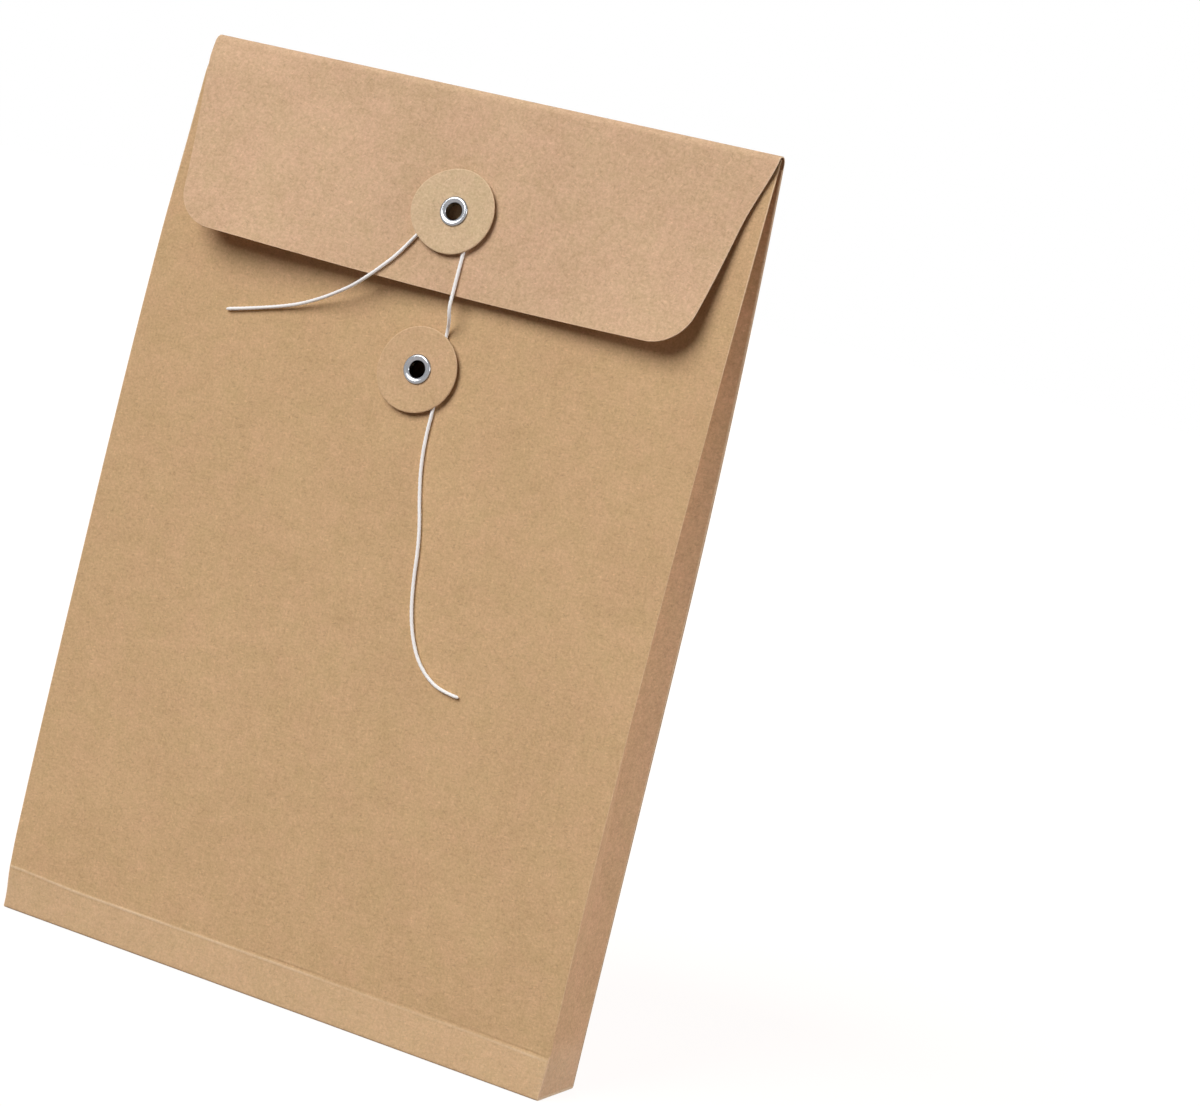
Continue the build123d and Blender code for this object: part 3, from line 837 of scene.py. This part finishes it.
def back_sheet():
    """The rest of the sheet: along the base, up the back, over the soft fold and down the flap."""
    base_y = np.linspace(-BASE_HALF + BASE_BEND, BASE_HALF - BASE_BEND, 15)
    turn = np.radians(np.linspace(270, 360, 7))[1:]
    straight = np.linspace(BASE_BEND, BACK_STRAIGHT, 40)[1:]
    lean = np.linspace(0, BACK_LEAN, 60)[1:]
    crown = np.linspace(BACK_LEAN, math.pi - FLAP_TILT, 31)[1:]
    corner_start = FLAP_LENGTH - FLAP_CORNER + 3.0
    corner = FLAP_LENGTH - FLAP_CORNER + FLAP_CORNER * np.sin(np.linspace(math.asin(0.2), math.pi / 2, 22))
    drop = np.concatenate([ticks(0, corner_start - 1.2, 2.0, spot=BUTTON_DROP)[1:], corner])
    flap = on_flap(0.0, drop)
    y = [base_y, BASE_HALF + BASE_BEND * (np.cos(turn) - 1), np.full(len(straight), BASE_HALF)]
    y += [BASE_HALF + BACK_RADIUS * (np.cos(lean) - 1), FOLD_Y + FOLD_RADIUS * np.cos(crown), flap[:, 1]]
    z = [np.zeros(len(base_y)), BASE_BEND * (1 + np.sin(turn)), straight]
    z += [BACK_STRAIGHT + BACK_RADIUS * np.sin(lean), FOLD_Z + FOLD_RADIUS * np.sin(crown), flap[:, 2]]
    # The stretch that each row is on: base, bend, upright back, leaning back, crown or flap
    stretch = np.concatenate([np.full(len(a), n) for n, a in enumerate(z)])
    back_row = np.isin(stretch, (2, 3))[:, None]
    crown_row = stretch == 4
    flap_row = (stretch == 5)[:, None]
    y, z = np.concatenate(y), np.concatenate(z)
    flap_drop = np.concatenate([np.zeros(len(z) - len(drop)), drop])
    half = flap_half_width(flap_drop)
    share = ticks(-HALF_WIDTH, HALF_WIDTH, 3.0, EDGE_STEPS, BUTTON_X)[::-1] / HALF_WIDTH
    x = half[:, None] * share[None, :]
    run = np.concatenate([[0], np.cumsum(np.hypot(np.diff(y), np.diff(z)))])
    outer = np.stack(np.broadcast_arrays(x, y[:, None], z[:, None]), axis=-1).astype(float)
    hollow = uneven(x, run[:, None], 0.3) * np.where(flap_row, np.clip(flap_drop / 30, 0, 1)[:, None], 0)
    past = run - run[crown_row][-1]
    swell = smooth(past, -2.2, 8) * np.exp(-((np.maximum(past - 8, 0) / 24) ** 2))
    outer[..., 1] += hollow - FOLD_SWELL * swell[:, None] * smooth(-x, 50, HALF_WIDTH)
    inset = np.clip(1 - (z.max() - z) / 8, 0, 1) ** 2
    outer[..., 0] += FOLD_INSET * inset[:, None] * smooth(-x, 100, HALF_WIDTH)
    across, out, droop = flap_lie(x, flap_drop[:, None])
    outer[..., 0] += across
    outer[..., 1] -= out * math.cos(FLAP_TILT) + droop * math.sin(FLAP_TILT)
    outer[..., 2] += out * math.sin(FLAP_TILT) - droop * math.cos(FLAP_TILT)
    ease = np.clip(np.minimum(z - 20, 310 - z) / 60, 0, 1)[:, None]
    outer[..., 1] -= uneven(x, z[:, None], 0.5) * ease * back_row
    side = half[:, None] - np.abs(x) + np.where(x < 0, 0.35, 0) * flap_row
    corner_x = flap_half_width(np.array(FLAP_LENGTH))
    to_corner = FLAP_CORNER - np.hypot(np.abs(x) - corner_x, flap_drop[:, None] - FLAP_LENGTH + FLAP_CORNER)
    in_corner = (np.abs(x) > corner_x) & (flap_drop[:, None] > FLAP_LENGTH - FLAP_CORNER)
    below = np.where(flap_row, (FLAP_LENGTH - flap_drop)[:, None], 99) + 0.25
    rim = np.where(in_corner, to_corner + 0.25, np.minimum(side, below))
    # Painted highlight: a pale line along the fold's crown, stronger to the right
    crown_run = run[crown_row].mean()
    rim = np.minimum(rim, np.abs(run - crown_run)[:, None] + 0.45 - 0.25 * smooth(x, -20, 60))
    card = np.stack(np.broadcast_arrays(x, run[:, None]), axis=-1).astype(float)
    thing = sheet("back_sheet", outer, card, rim, [BACK_AND_FLAP_KRAFT_PAINTED_LIGHTER, CUT], UPPER_SEAT[0])
    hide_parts("bottom_panel", "back_panel", "top_fold", "flap")
    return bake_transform(thing)


# The gusset strips


def gusset(side_name, mirror):
    """One gusset strip: the tab glued behind the front, a tight fold, the front leaf, the inner crease, and
    the same again to the back. Each leaf keeps its width, so it leans in as the panels come together."""
    z = ticks(0.45, FRONT_TOP - 0.2, 3.0, (0.1, 0.3, 0.7))
    front = front_face(z) + CARD + GAP
    middle = (front + back_face(z) - CARD - GAP) / 2
    half = middle - front
    width = half[0] - GUSSET_BEND
    lean = np.full(len(z), math.pi / 2)
    # A leaf's lean and the room that its folds leave it settle each other in a few rounds
    for _ in range(12):
        lean = np.arcsin(np.clip((half - GUSSET_BEND * (1 + np.cos(lean))) / width, 0.005, 1))
    edge_x = HALF_WIDTH - 0.05 - GUSSET_BEND
    tab = np.linspace(GUSSET_TAB, 0, 8)
    share = np.linspace(0, 1, 9)[1:]
    turn = share[None, :] * (math.pi - lean)[:, None]
    leaf = (1 - np.cos(np.linspace(0, math.pi, 17)[1:])) / 2 * width
    ones = np.ones(len(z))[:, None]
    x = [
        edge_x - tab[None, :] * ones,
        edge_x + GUSSET_BEND * np.sin(turn),
        edge_x + GUSSET_BEND * np.sin(lean)[:, None] - np.cos(lean)[:, None] * leaf,
    ]
    pushed = np.concatenate([np.ones(len(tab) + len(share)), 1 - leaf / width])
    y = [
        front[:, None] * np.ones((1, len(tab))),
        front[:, None] + GUSSET_BEND * (1 - np.cos(turn)),
        (front + GUSSET_BEND * (1 + np.cos(lean)))[:, None] + np.sin(lean)[:, None] * leaf,
    ]
    x, y = np.concatenate(x, axis=1), np.concatenate(y, axis=1)
    panel_x = -HALF_WIDTH if mirror else HALF_WIDTH
    set_back = (GUSSET_SET_BACK * smooth(z, *FOOT) - np.abs(edge_reach(panel_x, z)))[:, None]
    shift = front_shift(panel_x, z)[:, None]
    x = np.concatenate([x - set_back * pushed, x[:, -2::-1]], axis=1)
    y = np.concatenate([y + shift * pushed, 2 * middle[:, None] - y[:, -2::-1]], axis=1)
    outer = np.stack([x, y, z[:, None] * np.ones_like(x)], axis=-1)
    run = np.concatenate([[0], np.cumsum(np.hypot(np.diff(x[0]), np.diff(y[0])))])
    fold_at = len(tab) + 6  # the column where the tight fold wears pale
    # The pale lines along the folds are worn card; the one at the back fold, at full strength, is partly a
    # painted highlight
    at_front = np.abs(run - run[fold_at]) + 0.4
    at_back = np.abs(run - run[-1 - fold_at])
    rim = np.minimum(at_front, at_back)[None, :]
    rim = np.minimum(rim, np.minimum(z - z[0], z[-1] - z)[:, None])
    card = np.stack(np.broadcast_arrays(run[None, :], z[:, None]), axis=-1).astype(float)
    # Painted light: the gusset's foot is lightened, more so by its front fold
    by_fold = np.exp(-np.abs(run - run[fold_at]) / 1.5)
    scuff = 0.2 * (1 - smooth(z, 10, 24))[:, None] * (1 + 0.6 * by_fold)
    if mirror:
        outer = outer[:, ::-1] * (-1, 1, 1)
        card = card[:, ::-1] + LEFT_PATTERN
        rim = rim[:, ::-1]
    name = side_name + "_gusset"
    thing = sheet(name, outer, card, rim, [GUSSET_KRAFT, CUT], scuff=scuff)
    parts = ("front_leaf", "back_leaf", "front_tab", "back_tab")
    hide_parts(*(f"{name}_{part}" for part in parts))
    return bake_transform(thing)


def base_tab(side_name, sign):
    """Gusset's glue tab on the base: a flat rectangle of card."""
    x = ticks(*BASE_TAB_X, 2.0, EDGE_STEPS)
    y = ticks(-BASE_TAB_HALF, BASE_TAB_HALF, 2.0, EDGE_STEPS)
    outer = np.stack(np.broadcast_arrays(sign * x[None, :], y[:, None], 2 * CARD), axis=-1).astype(float)
    if sign < 0:
        outer = outer[:, ::-1]
    rim = np.full(outer.shape[:2], NO_RIM)
    thing = sheet(side_name + "_base_tab", outer, outer[..., :2] + TAB_PATTERN, rim, [GUSSET_KRAFT, CUT])
    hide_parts(side_name + "_gusset_base_tab")
    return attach(thing, "pouch")


# The buttons and their eyelets


def button(name, seat, material, lie):
    """Card button: a punched disc with pressed, rounded shoulders and a hole for the barrel, which lies a
    little out of round and curled off on one side."""
    low, high = BUTTON_LIFT, BUTTON_LIFT + BUTTON_CARD
    hole = BARREL_RADIUS + BARREL_ROOM
    face = np.linspace(hole, BUTTON_RADIUS - 0.7, 12)
    shoulder = bow((BUTTON_RADIUS - 0.5, high - 0.3), (0.5, 0.3), 90, 0, 6)
    heel = bow((BUTTON_RADIUS - 0.2, low + 0.1), (0.2, 0.1), 0, -90, 3)
    top = np.column_stack([face, np.full(len(face), high)])
    under = np.column_stack([face[::-1], np.full(len(face), low)])
    profile = np.concatenate([top, shoulder, heel, under])
    rim = BUTTON_RADIUS - profile[:, 0] + 0.2
    thing = lathe(name, profile[::-1], seat, material, rim[::-1], 128, lie)
    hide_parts(name)
    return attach(thing, name)


def eyelet(name, seat, body):
    """Eyelet: bore, funnel up to the crest, brim rolled down on the button, barrel through the card, and the
    clinched edge behind it."""
    under = BUTTON_LIFT + BUTTON_CARD + 0.08
    behind = -CARD - GAP
    brim_radius = FLANGE_RADIUS + BRIM_REACH
    crest = brim_radius - BRIM_ROLL
    funnel = bow((crest, under - 0.15), (crest - BORE_RADIUS, 0.95), 180, 90, 10)
    brim = bow((crest, under + 0.08), (BRIM_ROLL, 0.72), 90, 0, 10)
    clinch_middle = (BORE_RADIUS + CLINCH_RADIUS) / 2
    clinch_half = (CLINCH_RADIUS - BORE_RADIUS) / 2
    foot = bow((clinch_middle, behind - 0.02), (clinch_half, 0.38), 360, 180, 10)
    profile = np.concatenate(
        [
            np.column_stack([np.full(6, BORE_RADIUS), np.linspace(behind - 0.02, under - 0.3, 6)]),
            funnel,
            brim[1:],
            [(brim_radius - 0.04, under), (BARREL_RADIUS, under), (BARREL_RADIUS, behind)],
            [(CLINCH_RADIUS - 0.1, behind)],
            foot[:-1],
        ]
    )
    rim = np.full(len(profile), NO_RIM)
    thing = lathe(name, profile[::-1], seat, NICKEL, rim)
    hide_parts(name)
    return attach(thing, body)


front_sheet()
back_sheet()
gusset("right", False)
gusset("left", True)
base_tab("right", 1)
base_tab("left", -1)
button("upper_button", UPPER_SEAT, UPPER_BUTTON_KRAFT_PAINTED_LIGHTER, UPPER_LIE)
button("lower_button", LOWER_SEAT, LOWER_KRAFT, LOWER_LIE)
eyelet("upper_eyelet", UPPER_SEAT, "flap")
eyelet("lower_eyelet", LOWER_SEAT, "front")


# Floor, light and background

# Each lamp: the way to it, its power in watts a square metre, and the angle that it covers in degrees
LAMPS = {
    "key": ((-0.346, -0.743, 0.574), 3.07, 40),
    "side": ((0.92, 0.05, 0.37), 2.02, 30),
    "back": ((-0.5, 0.8, 0.35), 1.4, 40),
}
AROUND = 0.012  # strength of the light from all round
AROUND_TINT = (1.0, 0.72, 0.5, 1)
FLOOR_COLOUR = (0.215, 0.16, 0.135, 1)
FLOOR_GLOW = 0.9  # what the floor adds where it is seen, to show as white
FLOOR_HALF = 40.0  # in metres, as FLOOR_Z is
FLOOR_Z = -0.0002


def seen_as_background(tree):
    """1 for a ray that the camera, a gloss or a clear material sends, 0 for one that lights something."""
    rays = add(tree, "ShaderNodeLightPath").outputs
    either = maths(tree, "MAXIMUM", rays["Is Camera Ray"], rays["Is Glossy Ray"])
    return maths(tree, "MAXIMUM", either, rays["Is Transmission Ray"])


def set_stage():
    """White floor that keeps the envelope's shadow, a white background, and three wide soft lamps: the key
    from the upper left, one from the right that lights the gusset, and a weaker one for the back."""
    ways = ((-1, -1), (1, -1), (1, 1), (-1, 1))
    corners = [(x * FLOOR_HALF, y * FLOOR_HALF, FLOOR_Z) for x, y in ways]
    mesh = bpy.data.meshes.new("floor")
    mesh.from_pydata(corners, [], [[0, 1, 2, 3]])
    floor = bpy.data.objects.new("floor", mesh)
    bpy.context.scene.collection.objects.link(floor)
    material, tree, surface = new_material("floor")
    surface.inputs["Base Color"].default_value = FLOOR_COLOUR
    surface.inputs["Roughness"].default_value = 0.9
    surface.inputs["Specular IOR Level"].default_value = 0.0
    surface.inputs["Emission Color"].default_value = WHITE
    glow = maths(tree, "MULTIPLY", seen_as_background(tree), FLOOR_GLOW)
    put(tree, surface.inputs["Emission Strength"], glow)
    mesh.materials.append(material)

    world = bpy.data.worlds.new("studio")
    world.use_nodes = True
    tree = world.node_tree
    background = tree.nodes["Background"]
    seen = seen_as_background(tree)
    put(tree, background.inputs["Color"], mixed(tree, seen, AROUND_TINT, WHITE))
    put(tree, background.inputs["Strength"], spread(tree, seen, 0.0, 1.0, AROUND, 1.0))
    bpy.context.scene.world = world

    for name, (way, power, angle) in LAMPS.items():
        data = bpy.data.lights.new(name, "SUN")
        data.energy = power
        data.angle = math.radians(angle)
        lamp = bpy.data.objects.new(name, data)
        back = np.array(way) / np.linalg.norm(way)
        side = np.cross((0, 0, 1), back)
        side /= np.linalg.norm(side)
        up = np.cross(back, side)
        rows = [[side[i], up[i], back[i], 2 * back[i]] for i in range(3)]
        lamp.matrix_world = Matrix(rows + [[0, 0, 0, 1]])
        bpy.context.scene.collection.objects.link(lamp)


set_stage()
bpy.context.scene.view_settings.view_transform = "Standard"
